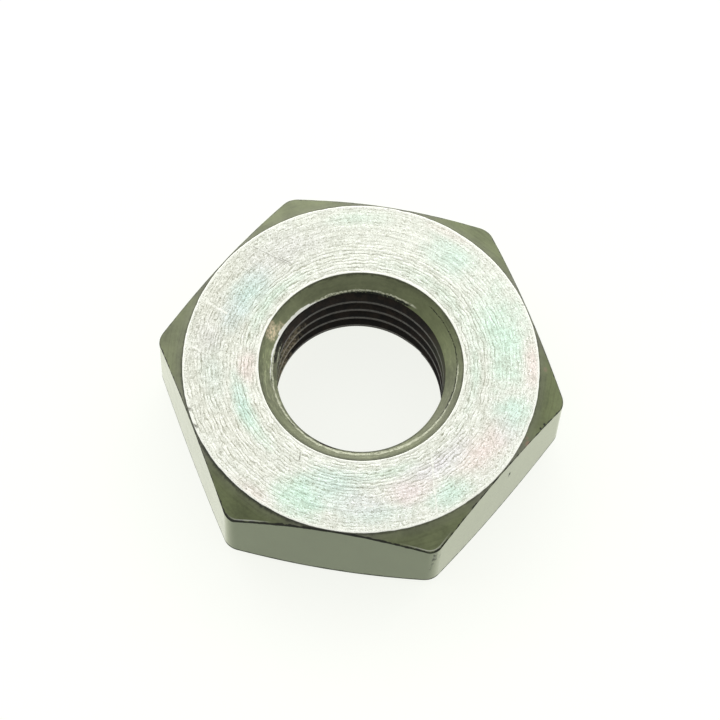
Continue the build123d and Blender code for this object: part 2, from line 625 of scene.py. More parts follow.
class NodeBench:
    """Short calls for adding nodes to one node tree."""

    NOISE_RANGE = (0.3, 0.7)

    def __init__(self, tree):
        self.tree = tree

    def add(self, kind, inputs=None, **settings):
        """A new node with its settings, its inputs fed by name or number."""
        node = self.tree.nodes.new(kind)
        for name, value in settings.items():
            setattr(node, name, value)
        for socket, value in (inputs or {}).items():
            self.feed(node.inputs[socket], value)
        return node

    def feed(self, socket, value):
        """Links a socket to the input, or sets the input to a plain value."""
        if isinstance(value, bpy.types.NodeSocket):
            self.tree.links.new(value, socket)
        else:
            socket.default_value = value

    def math(self, operation, *values, clamp=False):
        """One number worked out from others."""
        inputs = dict(enumerate(values))
        return self.add("ShaderNodeMath", inputs, operation=operation, use_clamp=clamp).outputs[0]

    def chain(self, operation, first, *rest):
        """An operation on two numbers, then on its result and each number that follows."""
        for value in rest:
            first = self.math(operation, first, value)
        return first

    def plus(self, *values):
        """The sum of the numbers."""
        return self.chain("ADD", *values)

    def minus(self, value, other):
        """The first number less the other."""
        return self.math("SUBTRACT", value, other)

    def times(self, *values):
        """The product of the numbers."""
        return self.chain("MULTIPLY", *values)

    def largest(self, *values):
        """The largest of the numbers."""
        return self.chain("MAXIMUM", *values)

    def opposite(self, mask):
        """0 where a mask is 1, and 1 where it is 0."""
        return self.minus(1.0, mask)

    def less(self, value, mask, share):
        """A number that loses a share of itself where a mask is 1."""
        return self.times(value, self.opposite(self.times(mask, share)))

    def swing(self, noise, depth):
        """A noise as a swing about zero, of the given full depth."""
        return self.times(self.minus(noise, 0.5), depth)

    def turn_from(self, angle, start):
        """Degrees from one angle to another, between -180 and 180."""
        return self.math("WRAP", self.minus(angle, start), 180.0, -180.0)

    def vector(self, operation, *values):
        """One vector worked out from others."""
        inputs = dict(enumerate(values))
        return self.add("ShaderNodeVectorMath", inputs, operation=operation).outputs["Vector"]

    def measure(self, operation, *values):
        """One number worked out from vectors, such as a length."""
        inputs = dict(enumerate(values))
        return self.add("ShaderNodeVectorMath", inputs, operation=operation).outputs["Value"]

    def combine(self, x, y, z):
        """A vector from three numbers."""
        return self.add("ShaderNodeCombineXYZ", {0: x, 1: y, 2: z}).outputs[0]

    def separate(self, vector):
        """The three numbers of a vector."""
        return self.add("ShaderNodeSeparateXYZ", {0: vector}).outputs

    def step(self, value, start, end, low=0.0, high=1.0):
        """A smooth step of a value from one level to another."""
        inputs = {"Value": value, "From Min": start, "From Max": end, "To Min": low, "To Max": high}
        return self.add("ShaderNodeMapRange", inputs, interpolation_type="SMOOTHSTEP").outputs[0]

    def spread(self, noise, low, high):
        """The usual range of a noise, spread from one level to another."""
        return self.step(noise, *self.NOISE_RANGE, low, high)

    def noise(self, vector, scale, detail=2.0, roughness=0.5):
        """A smooth random pattern about a half."""
        inputs = {"Vector": vector, "Scale": scale, "Detail": detail, "Roughness": roughness}
        return self.add("ShaderNodeTexNoise", inputs, noise_dimensions="3D").outputs[0]

    def flecks(self, vector, scale, start, end, low=0.0, **texture):
        """A smooth random pattern cut into flecks, with a low level between them."""
        return self.step(self.noise(vector, scale, **texture), start, end, low, 1.0)

    def mix(self, share, first, second, blend="MIX"):
        """One colour laid over another by a share."""
        inputs = {0: share, 6: first, 7: second}
        return self.add("ShaderNodeMix", inputs, data_type="RGBA", blend_type=blend).outputs[2]

    def group(self, tree, inputs=None):
        """The outputs of a node group, its inputs fed by name."""
        return self.add("ShaderNodeGroup", inputs, node_tree=tree).outputs


ORIGIN = (0.0, 0.0, 0.0)
MASK = {"Mask": 0.0}


def new_group(name, inputs, outputs):
    """A node group, its bench and its inner sockets: a name and a value of the kind for each."""
    tree = bpy.data.node_groups.new(name, "ShaderNodeTree")
    for side, sockets in (("INPUT", inputs), ("OUTPUT", outputs)):
        for label, value in sockets.items():
            kind = "NodeSocketVector" if isinstance(value, tuple) else "NodeSocketFloat"
            socket = tree.interface.new_socket(name=label, in_out=side, socket_type=kind)
            socket.default_value = value
    bench = NodeBench(tree)
    return tree, bench, bench.add("NodeGroupInput").outputs, bench.add("NodeGroupOutput").inputs


def polar_place_group():
    """Where a point is on the nut: its place, radius and height in millimetres and its angle."""
    outputs = {"Place": ORIGIN, "Radius": 0.0, "Angle": 0.0, "Height": 0.0}
    tree, bench, _, out = new_group("Polar place", {}, outputs)
    in_metres = bench.add("ShaderNodeTexCoord").outputs["Object"]
    place = bench.vector("MULTIPLY", in_metres, (1 / MM,) * 3)
    x, y, z = bench.separate(place)
    radius = bench.math("SQRT", bench.plus(bench.times(x, x), bench.times(y, y)))
    angle = bench.math("DEGREES", bench.math("ARCTAN2", y, x))
    for label, socket in zip(outputs, (place, radius, angle, z)):
        bench.feed(out[label], socket)
    return tree


def turning_marks_group():
    """Fine wavering rings that a facing tool leaves, broken along their length."""
    inputs = {"Radius": 0.0, "Angle": 0.0, "Rings": 5.0, "Breaks": 8.0, "Wander": 2.0, "Width": 0.2}
    outputs = {"Light": 0.0, "Dark": 0.0, "Height": 0.0}
    tree, bench, given, out = new_group("Turning marks", inputs, outputs)
    turn = bench.math("RADIANS", given["Angle"])
    across = bench.times(given["Radius"], given["Rings"])
    along_x = bench.times(bench.math("COSINE", turn), given["Breaks"])
    along_y = bench.times(bench.math("SINE", turn), given["Breaks"])
    where = bench.combine(along_x, along_y, bench.times(across, 0.5))
    drift = bench.swing(bench.noise(where, 1.0), given["Wander"])
    ring = bench.math("PINGPONG", bench.plus(across, drift), 0.5)
    width = given["Width"]
    core = bench.times(width, 0.3)
    beside = bench.math("ABSOLUTE", bench.minus(ring, bench.times(width, 1.6)))
    lines = (("Dark", ring, (31.0, 17.0, 5.0)), ("Light", beside, (7.0, 41.0, 23.0)))
    for label, off_line, shift in lines:
        elsewhere = bench.vector("ADD", where, shift)
        broken = bench.flecks(elsewhere, 1.3, 0.42, 0.56)
        bench.feed(out[label], bench.times(bench.step(off_line, width, core), broken))
    bench.feed(out["Height"], ring)
    return tree


def matt_grain_group():
    """Fine crystals and scuffs of a plated surface, as a tone about a half and a height."""
    inputs = {"Place": ORIGIN, "Fineness": 12.0, "Clouds": 0.3}
    tree, bench, given, out = new_group("Matt grain", inputs, {"Tone": 0.0, "Height": 0.0, "Pits": 0.0})
    place = given["Place"]
    fineness = given["Fineness"]
    fine = bench.noise(place, fineness, detail=3.0, roughness=0.65)
    coarse = bench.noise(place, bench.times(fineness, 0.13), detail=4.0)
    clouds = bench.times(coarse, given["Clouds"])
    bench.feed(out["Tone"], bench.plus(bench.times(fine, bench.opposite(given["Clouds"])), clouds))
    bench.feed(out["Height"], fine)
    pit_scale = bench.times(fineness, 0.8)
    bench.feed(out["Pits"], bench.flecks(place, pit_scale, 0.68, 0.75, detail=1.0))
    return tree


def film_patch_group():
    """A soft patch of a film, placed by its radius and angle."""
    inputs = {
        "Radius": 0.0,
        "Angle": 0.0,
        "Warp": 0.5,
        "At Radius": 7.0,
        "At Angle": 0.0,
        "Half Depth": 1.0,
        "Half Angle": 10.0,
    }
    tree, bench, given, out = new_group("Film patch", inputs, MASK)
    off_radius = bench.minus(given["Radius"], given["At Radius"])
    across = bench.math("DIVIDE", off_radius, given["Half Depth"])
    turn = bench.turn_from(given["Angle"], given["At Angle"])
    along = bench.math("DIVIDE", turn, given["Half Angle"])
    far = bench.measure("LENGTH", bench.combine(across, along, 0.0))
    ragged = bench.plus(far, bench.swing(given["Warp"], 1.3))
    bench.feed(out["Mask"], bench.step(ragged, 1.35, 0.0))
    return tree


def scratch_group():
    """A thin straight mark between two places."""
    inputs = {"Place": ORIGIN, "From": ORIGIN, "To": (1.0, 0.0, 0.0), "Width": 0.05}
    tree, bench, given, out = new_group("Scratch", inputs, MASK)
    place = given["Place"]
    from_start = bench.vector("SUBTRACT", place, given["From"])
    whole = bench.vector("SUBTRACT", given["To"], given["From"])
    done = bench.measure("DOT_PRODUCT", from_start, whole)
    share = bench.math("DIVIDE", done, bench.measure("DOT_PRODUCT", whole, whole), clamp=True)
    nearest = bench.vector("MULTIPLY", whole, bench.combine(share, share, share))
    far = bench.measure("LENGTH", bench.vector("SUBTRACT", from_start, nearest))
    width = bench.times(given["Width"], bench.times(bench.noise(place, 3.0), 1.6))
    mark = bench.step(far, width, bench.times(width, 0.35))
    flecks = bench.flecks(place, 5.5, 0.38, 0.56, low=0.25, detail=3.0, roughness=0.6)
    bench.feed(out["Mask"], bench.times(mark, flecks))
    return tree


def edge_wear_and_painted_light_group():
    """Where an edge is rubbed bright, its dark line of dirt with painted shade, and a painted highlight
    of a lip beside it.
    """
    inputs = {"Place": ORIGIN, "Fineness": 3.0, "Dark Level": 0.5}
    outputs = {"Rubbed": 0.0, "Dark Line": 0.0, "Lip Highlight": 0.0}
    tree, bench, given, out = new_group("Edge wear and painted light", inputs, outputs)
    wander = bench.noise(given["Place"], given["Fineness"], detail=4.0, roughness=0.65)
    shift = bench.swing(wander, 1.4)
    rubbed = bench.add("ShaderNodeAttribute", attribute_name="rubbed").outputs["Fac"]
    arris = bench.add("ShaderNodeAttribute", attribute_name="arris").outputs["Fac"]
    ragged = bench.plus(arris, bench.times(shift, bench.step(arris, 0.0, 0.15)))
    level = given["Dark Level"]
    bench.feed(out["Rubbed"], bench.step(bench.plus(rubbed, shift), 0.35, 0.65))
    bench.feed(out["Dark Line"], bench.step(ragged, level, bench.plus(level, 0.22)))
    bench.feed(out["Lip Highlight"], bench.times(bench.step(arris, 0.2, 0.3), bench.step(arris, 0.55, 0.4)))
    return tree


def level_line_group():
    """A thin ragged line round the wall of the hole, at a height that may climb with the angle."""
    inputs = {
        "Place": ORIGIN,
        "Angle": 0.0,
        "Height": 0.0,
        "At Angle": 0.0,
        "Half Span": 30.0,
        "At Height": 5.0,
        "Rise": 0.0,
        "Width": 0.05,
    }
    tree, bench, given, out = new_group("Level line", inputs, MASK)
    place = given["Place"]
    half_span = given["Half Span"]
    turn = bench.turn_from(given["Angle"], given["At Angle"])
    middle = bench.plus(given["At Height"], bench.times(turn, given["Rise"]))
    wander = bench.swing(bench.noise(place, 3.0, detail=4.0, roughness=0.65), 0.12)
    off_line = bench.math("ABSOLUTE", bench.minus(given["Height"], bench.plus(middle, wander)))
    thickness = bench.plus(1.0, bench.times(bench.noise(place, 2.2, detail=3.0), -0.9))
    width = bench.times(given["Width"], bench.times(thickness, 1.8))
    across = bench.step(off_line, width, bench.times(width, 0.3))
    along = bench.step(bench.math("ABSOLUTE", turn), half_span, bench.minus(half_span, 5.0))
    flecks = bench.flecks(place, 8.0, 0.36, 0.54, low=0.2, detail=3.0, roughness=0.6)
    bench.feed(out["Mask"], bench.times(across, along, flecks))
    return tree


def stain_group():
    """A ragged stain round a place."""
    inputs = {"Place": ORIGIN, "At": ORIGIN, "Size": 0.5}
    tree, bench, given, out = new_group("Stain", inputs, MASK)
    far = bench.measure("DISTANCE", given["Place"], given["At"])
    ragged = bench.noise(given["Place"], 5.0, detail=5.0, roughness=0.7)
    near = bench.minus(bench.math("DIVIDE", far, given["Size"]), bench.times(ragged, 1.6))
    bench.feed(out["Mask"], bench.step(near, 0.2, -0.35))
    return tree


class FinishGroups:
    """The node groups that the nut's finishes share."""

    def __init__(self):
        self.polar_place = polar_place_group()
        self.turning_marks = turning_marks_group()
        self.matt_grain = matt_grain_group()
        self.film_patch = film_patch_group()
        self.scratch = scratch_group()
        self.edge_wear_and_painted_light = edge_wear_and_painted_light_group()
        self.level_line = level_line_group()
        self.stain = stain_group()


class FinishBench(NodeBench):
    """A bench for one of the nut's finishes: its material, its shader and its place on the nut."""

    def __init__(self, name, colour_name, groups, finish):
        self.material = bpy.data.materials.new(name)
        self.material.use_nodes = True
        super().__init__(self.material.node_tree)
        self.tree.nodes.clear()
        self.groups = groups
        self.finish = finish
        self.material.diffuse_color = self.colour(colour_name)
        self.shader = self.add("ShaderNodeBsdfPrincipled")
        self.add("ShaderNodeOutputMaterial", {"Surface": self.shader.outputs["BSDF"]})
        at = self.group(groups.polar_place)
        self.place = at["Place"]
        self.radius = at["Radius"]
        self.angle = at["Angle"]
        self.height = at["Height"]

    def colour(self, name):
        """One of the finish's colours, opaque."""
        return (*getattr(self.finish, name), 1)

    def painted(self, colour, layers):
        """A colour under layers of the finish's colours, each laid where its mask is 1."""
        for name, mask in layers:
            colour = self.mix(mask, colour, self.colour(name))
        return colour

    def toned(self, colour, tone, blue_tone=None):
        """A colour made lighter or darker, its blue by another tone if one is given."""
        blue = tone if blue_tone is None else blue_tone
        return self.mix(1.0, colour, self.combine(tone, tone, blue), blend="MULTIPLY")

    def weighed(self, tone, marks):
        """A tone with the product of each mark's masks and weight added to it."""
        for factors in marks:
            tone = self.plus(tone, self.times(*factors))
        return tone

    def masks(self, tree, inputs, marks):
        """The strongest of a group's masks, one for each mark."""
        strongest = 0.0
        for strength, own in marks:
            mask = self.group(tree, {**inputs, **own})["Mask"]
            strongest = self.largest(strongest, self.times(mask, strength))
        return strongest

    def patches(self, marks, **more):
        """Where the patches are."""
        inputs = {"Radius": self.radius, "Angle": self.angle, **more}
        return self.masks(self.groups.film_patch, inputs, marks)

    def scratches(self, marks):
        """Where the scratches are."""
        return self.masks(self.groups.scratch, {"Place": self.place}, marks)

    def stains(self, marks):
        """Where the stains are."""
        return self.masks(self.groups.stain, {"Place": self.place}, marks)

    def lines(self, marks):
        """Where the lines round the wall of the hole are."""
        inputs = {"Place": self.place, "Angle": self.angle, "Height": self.height}
        return self.masks(self.groups.level_line, inputs, marks)

    def grain(self, fineness, clouds=0.3):
        """The matt grain of the plating."""
        inputs = {"Place": self.place, "Fineness": fineness, "Clouds": clouds}
        return self.group(self.groups.matt_grain, inputs)

    def turning_marks(self, rings, breaks, wander):
        """The marks of the facing tool: rings a millimetre, breaks and wander."""
        inputs = {"Radius": self.radius, "Angle": self.angle}
        inputs.update({"Rings": rings, "Breaks": breaks, "Wander": wander})
        return self.group(self.groups.turning_marks, inputs)

    def wear(self, dark_level=0.5):
        """Wear and dirt along the edges, with painted shade and a painted highlight."""
        return self.group(self.groups.edge_wear_and_painted_light, {"Place": self.place, "Dark Level": dark_level})

    def bump(self, height, depth):
        """Feeds the shader's normal from a height, its full depth in millimetres."""
        inputs = {"Strength": 1.0, "Distance": depth * MM, "Height": height}
        self.feed(self.shader.inputs["Normal"], self.add("ShaderNodeBump", inputs).outputs[0])

    def finished(self, inputs):
        """The material, its shader's inputs fed."""
        for label, value in inputs.items():
            self.feed(self.shader.inputs[label], value)
        return self.material


def polar(radius, angle, height=None):
    """A place in millimetres from a radius, an angle in degrees and a height."""
    level = nut.height if height is None else height
    return (radius * cos(radians(angle)), radius * sin(radians(angle)), level)


def patch(radius, angle, half_depth, half_angle, strength=1.0):
    """A soft patch: its middle, half its depth in millimetres and half its span in degrees."""
    depths = {"At Radius": radius, "Half Depth": half_depth}
    return strength, {**depths, "At Angle": angle, "Half Angle": half_angle}


def scratch(start, end, width, strength=1.0):
    """A thin straight mark from one place to another."""
    return strength, {"From": start, "To": end, "Width": width}


def stain(place, size, strength=1.0):
    """A ragged stain round a place."""
    return strength, {"At": place, "Size": size}


def line(angle, half_span, height, width, rise=0.0, strength=1.0):
    """A line round the wall: its middle, half its span in degrees and its rise for each degree."""
    spans = {"At Angle": angle, "Half Span": half_span, "Rise": rise}
    return strength, {**spans, "At Height": height, "Width": width}


# Mint parts of the thin coloured film on the turned face
MINT_PATCHES = [
    patch(8.0, -104, 1.5, 11),
    patch(7.2, -97, 1.3, 12, 0.5),
    patch(6.65, -145, 0.5, 22, 0.9),
    patch(6.2, -70, 0.4, 18, 0.4),
    patch(8.5, -48, 0.8, 10, 0.7),
    patch(8.4, -9, 1.0, 9, 0.75),
    patch(7.65, 23, 1.6, 25, 0.85),
    patch(6.1, 5, 0.4, 24, 0.45),
    patch(6.1, 50, 0.5, 40, 0.3),
    patch(8.1, 62, 1.2, 11, 0.6),
    patch(8.7, 100, 0.5, 11, 0.4),
    patch(6.15, 150, 0.45, 26, 0.5),
]

# Cyan parts of the film
CYAN_PATCHES = [
    patch(7.0, -91, 1.3, 15, 0.6),
    patch(8.3, -76, 0.8, 14, 0.5),
    patch(8.5, -50, 0.8, 8, 0.2),
    patch(8.3, -9, 1.2, 8, 0.3),
    patch(8.1, 63, 1.2, 11, 0.25),
    patch(7.3, 156, 1.0, 18),
    patch(6.65, -153, 0.5, 16, 0.5),
    patch(7.8, -166, 0.8, 14, 0.3),
]

# Pink parts of the film
PINK_PATCHES = [
    patch(7.9, -28, 1.0, 14, 0.95),
    patch(7.6, -61, 0.7, 12),
    patch(9.1, 10, 0.6, 12, 0.8),
    patch(9.2, 66, 0.5, 10, 0.5),
    patch(6.1, -170, 0.6, 9, 0.8),
    patch(9.2, -118, 0.6, 10, 0.5),
    patch(6.6, 15, 0.5, 16, 0.25),
]

# Cool grey and lilac parts of the film
LILAC_PATCHES = [
    patch(7.7, 134, 1.4, 20, 0.4),
    patch(7.5, 166, 1.0, 12, 0.3),
    patch(8.2, 178, 0.9, 10, 0.35),
    patch(6.9, -44, 0.7, 18, 0.9),
    patch(7.5, -60, 0.8, 12, 0.4),
    patch(7.7, -80, 0.8, 12, 0.4),
    patch(8.6, -16, 0.9, 6, 0.35),
]

# Warm dull parts of the film
TAN_PATCHES = [
    patch(7.6, -152, 3.4, 44, 0.4),
    patch(8.8, 165, 1.4, 26, 0.35),
]

# Parts of the face that reflect a little less
DULL_PARTS = [
    patch(7.4, 155, 5.0, 62),
    patch(6.0, 30, 1.6, 140, 0.7),
]

# Part of the face where the fine marks are weaker
SMOOTH_PARTS = [patch(8.0, 82, 5.0, 62)]

# Outer parts of the face where the tool's rings show as strongly as near the hole
RINGED_PARTS = [
    patch(7.5, -138, 3.0, 46),
    patch(7.0, -40, 1.2, 26),
    patch(7.6, 178, 2.5, 24, 0.7),
    patch(7.2, 35, 1.2, 40),
]

# Bright scratches on the turned face
LIGHT_SCRATCHES = [
    scratch(polar(9.14, -55.4), polar(6.0, -43.4), 0.09),
    scratch(polar(9.34, 165.1), polar(7.75, 166.7), 0.10),
    scratch(polar(9.38, -178.3), polar(8.54, -175.8), 0.11),
    scratch(polar(9.1, -179.0), polar(8.6, -179.5), 0.06),
    scratch(polar(7.06, -73.4), polar(7.45, -73.8), 0.07),
    scratch(polar(7.85, -80.2), polar(7.97, -76.5), 0.06),
]

# Dark scratches on the turned face
DARK_SCRATCHES = [
    scratch(polar(9.0, 139.2), polar(7.0, 132.5), 0.045, 0.8),
    scratch(polar(7.64, 134.2), polar(7.0, 131.5), 0.05),
    scratch(polar(5.9, -113.1), polar(6.26, -111.6), 0.05),
    scratch(polar(9.1, -122.4), polar(9.24, -120.7), 0.05),
    scratch(polar(9.42, -154.9), polar(9.34, -154.3), 0.19),
    scratch(polar(9.42, -148.9), polar(9.35, -148.2), 0.17),
    scratch(polar(9.42, 90.0), polar(9.34, 90.4), 0.08, 0.6),
    scratch(polar(9.42, 31.9), polar(9.34, 32.2), 0.08, 0.6),
]

# Angles of the flats whose gloss is weaker, and how much of it each has lost
DULL_FLATS = [(-90.0, 0.82), (-30.0, 0.30)]

# Small dark dents and dirt on the flats and beside one corner
FLAT_NICKS = [
    scratch((8.6, -4.10, 4.45), (8.6, -4.12, 4.1), 0.15, 2.0),
    scratch(polar(10.8, -59.7, 5.2), polar(10.8, -59.9, 3.9), 0.22, 0.8),
    scratch(polar(10.8, -60.2, 3.6), polar(10.8, -60.8, 2.6), 0.14, 0.5),
    scratch(polar(10.78, -57.4, 5.0), polar(10.8, -58.2, 3.9), 0.10, 0.5),
    scratch(polar(10.78, -62.5, 4.9), polar(10.78, -62.8, 3.6), 0.09, 0.4),
]

# Rust-brown stains on the top chamfer
OLIVE_STAINS = [
    stain(polar(9.75, 9.1, 5.78), 0.18, 0.5),
    stain(polar(9.72, -17.0, 5.8), 0.2, 0.8),
    stain(polar(9.55, -15.5, 5.9), 0.13, 0.5),
]

# Beige flecks where the film has come off the countersink
BEIGE_STAINS = [
    stain(polar(5.2, 166, 5.74), 0.60),
    stain(polar(4.9, 160, 5.4), 0.38, 0.6),
]

# Dirt where the film thins out: at the start of the groove and beside one corner's edge
OLIVE_SOOT = [
    stain(polar(4.75, -170, 4.85), 0.5),
    stain(polar(10.02, -10.3, 5.61), 0.10),
    stain(polar(10.12, -8.4, 5.55), 0.10),
]

# Light ragged lines where the countersink ends above the thread: painted highlights where its edge
# catches the light, and the burr's bare metal at the back
LIP_HEIGHT = nut.height - 0.78
LIP_LINES = [
    line(121, 62, LIP_HEIGHT, 0.055, strength=0.95),
    line(152, 27, LIP_HEIGHT, 0.06, strength=0.9),
    line(-155, 31, 4.88, 0.035, rise=0.0012, strength=0.9),
    line(-99, 32, 5.04, 0.06, rise=0.0040, strength=0.9),
    line(-41, 34, 5.335, 0.05, rise=0.0060, strength=0.9),
    line(-58, 17, 5.20, 0.09, rise=0.0060, strength=0.7),
    line(-5, 19, 5.575, 0.05, rise=0.0055, strength=1.5),
]

# Painted shadow lines where the bottom of the groove only just touches the countersink
GROOVE_SHADOW_LINES = [
    line(36, 21, 5.67, 0.04, rise=0.0005),
    line(101, 38, 5.13, 0.09, strength=1.6),
    line(-2, 27, 5.525, 0.045, rise=0.0055),
    line(-88, 50, 4.92, 0.06, strength=0.9),
    line(-41, 24, 5.265, 0.03, rise=0.0060, strength=0.45),
]

# Part of the chamfer where the painted shade beside the face's rim is strongest
SHADED_RIM_PART = [patch(9.5, -125, 1.0, 60)]

# Parts of the countersink with light and dark streaks round it
MOTTLED_WALL = [
    patch(5.0, -165, 1.6, 44),
    patch(5.0, -75, 1.6, 70, 0.6),
    patch(5.0, 5, 1.6, 40, 0.35),
]

# Parts of the countersink with painted shade beside its mouth
SHADED_MOUTH = [
    patch(5.2, -85, 2.0, 80),
    patch(5.2, -172, 2.0, 44, 0.7),
    patch(5.2, 48, 2.0, 40, 0.5),
]

# Front part of the countersink: painted light lifts its tone, its film is greyer, and painted shade
# darkens its inner end
NEAR_WALL = [patch(4.9, -85, 2.0, 80)]

# Parts of the countersink where the olive film is greyer
GREY_PARTS = [
    patch(5.0, -22, 1.6, 42, 0.9),
    patch(5.0, -150, 1.6, 26, 0.5),
]

# Parts of the chamfer and countersink where the olive film is greener
GREEN_PARTS = [
    patch(10.2, 0, 1.8, 30, 0.9),
    patch(10.2, 60, 1.8, 30, 0.5),
    patch(10.2, -120, 1.8, 30, 0.8),
    patch(10.2, -60, 1.8, 30, 0.5),
    patch(5.0, 46, 1.6, 38, 0.45),
]

# Parts of the chamfer painted darker: painted shade on the corners that less light reaches
SHADED_CORNERS = [
    patch(10.2, -120, 1.8, 34, 0.8),
    patch(10.2, -60, 1.8, 30, 0.45),
    patch(10.2, 0, 1.8, 34, 0.65),
    patch(10.2, 60, 1.8, 34, 0.45),
    patch(10.2, 180, 1.8, 26, 0.3),
]

# Parts of the countersink painted lighter: painted light where more light reaches them
LIT_WALL_PARTS = [
    patch(5.0, -20, 1.4, 34),
    patch(5.0, 174, 1.6, 44),
    patch(5.0, 26, 1.6, 24, 0.5),
]

# Corners whose edge has a painted highlight of a small lip beside its dark line
LIP_PARTS = [
    patch(10.4, -115, 1.2, 6),
    patch(10.4, -61, 1.2, 7),
]

# Where the film reaches down over the thread, at the end of its groove
THREAD_FILM = [patch(4.7, -168, 3.0, 31)]

# Painted shade over the top turn of the thread: its crest lines dimmed and an olive tone laid over it
SHADED_THREAD = [patch(4.7, 20, 3.0, 24)]

# Light lines on the groove, where the countersink's lip runs on over it
THREAD_LINES = [
    line(-174, 17, 4.86, 0.045, strength=1.3),
    line(174, 9, 4.72, 0.018, strength=0.6),
]

# Painted shadow in the gap on the groove beside the burr
BURR_SHADOW = [line(171, 12, 4.80, 0.07, strength=1.5)]

# Rust-brown stains inside the thread
THREAD_STAINS = [
    stain(polar(4.65, 153, 3.4), 1.2, 0.7),
    stain(polar(4.65, 161, 2.9), 1.5),
    stain(polar(4.65, 169, 2.2), 1.4),
]


def turned_face(groups, finish):
    """The bright, matt turned faces, with rings, a thin coloured film and scratches."""
    bench = FinishBench("turned_face", "face_colour", groups, finish)
    grain = bench.grain(13.0, clouds=0.08)
    rings = bench.turning_marks(rings=5.2, breaks=9.0, wander=1.9)
    cells = bench.turning_marks(rings=6.3, breaks=36.0, wander=3.8)
    wear = bench.wear()
    warp = bench.noise(bench.place, 0.9, detail=4.0)
    tints = (
        ("tan_colour", bench.patches(TAN_PATCHES, Warp=warp)),
        ("mint_colour", bench.patches(MINT_PATCHES, Warp=warp)),
        ("cyan_colour", bench.patches(CYAN_PATCHES, Warp=warp)),
        ("pink_colour", bench.patches(PINK_PATCHES, Warp=warp)),
        ("lilac_colour", bench.patches(LILAC_PATCHES, Warp=warp)),
    )
    ringed = bench.patches(RINGED_PARTS, Warp=warp)
    inner = bench.largest(bench.step(bench.radius, 7.8, 6.4), ringed)
    ring_share = bench.plus(0.35, bench.times(inner, 0.65))
    smooth = bench.patches(SMOOTH_PARTS)
    cell_share = bench.less(bench.less(1.0, inner, 0.30), smooth, 0.35)
    marks = (
        (bench.patches(DULL_PARTS), -0.09),
        (rings["Dark"], ring_share, -0.32),
        (rings["Light"], ring_share, 0.24),
        (cells["Dark"], cell_share, -0.29),
        (cells["Light"], cell_share, 0.27),
        (grain["Pits"], -0.22),
    )
    tone = bench.weighed(bench.spread(grain["Tone"], 0.80, 1.12), marks)
    warmer = bench.minus(bench.times(tone, 1.12), 0.12)
    colour = bench.toned(bench.painted(bench.colour("face_colour"), tints), tone, warmer)
    off_axis = bench.plus(bench.radius, bench.swing(grain["Height"], 0.7))
    rim_from = nut.top_face_radius - 0.16
    mouth_from = nut.mouth_radius + 0.16
    rim = bench.step(off_axis, rim_from, rim_from + 0.08, 0.0, 0.6)
    mouth = bench.step(off_axis, mouth_from, mouth_from - 0.09, 0.0, 0.5)
    bright = bench.largest(rim, mouth, bench.scratches(LIGHT_SCRATCHES), wear["Rubbed"])
    dark = bench.scratches(DARK_SCRATCHES)
    colour = bench.painted(colour, (("bare_and_highlight_colour", bright), ("scratch_colour", dark)))
    lines = bench.times(rings["Height"], ring_share)
    bench.bump(bench.plus(bench.times(grain["Height"], 0.5), lines), 0.008)
    roughness = bench.spread(grain["Tone"], 0.55, 0.42)
    return bench.finished({"Base Color": colour, "Metallic": 1.0, "Roughness": roughness})


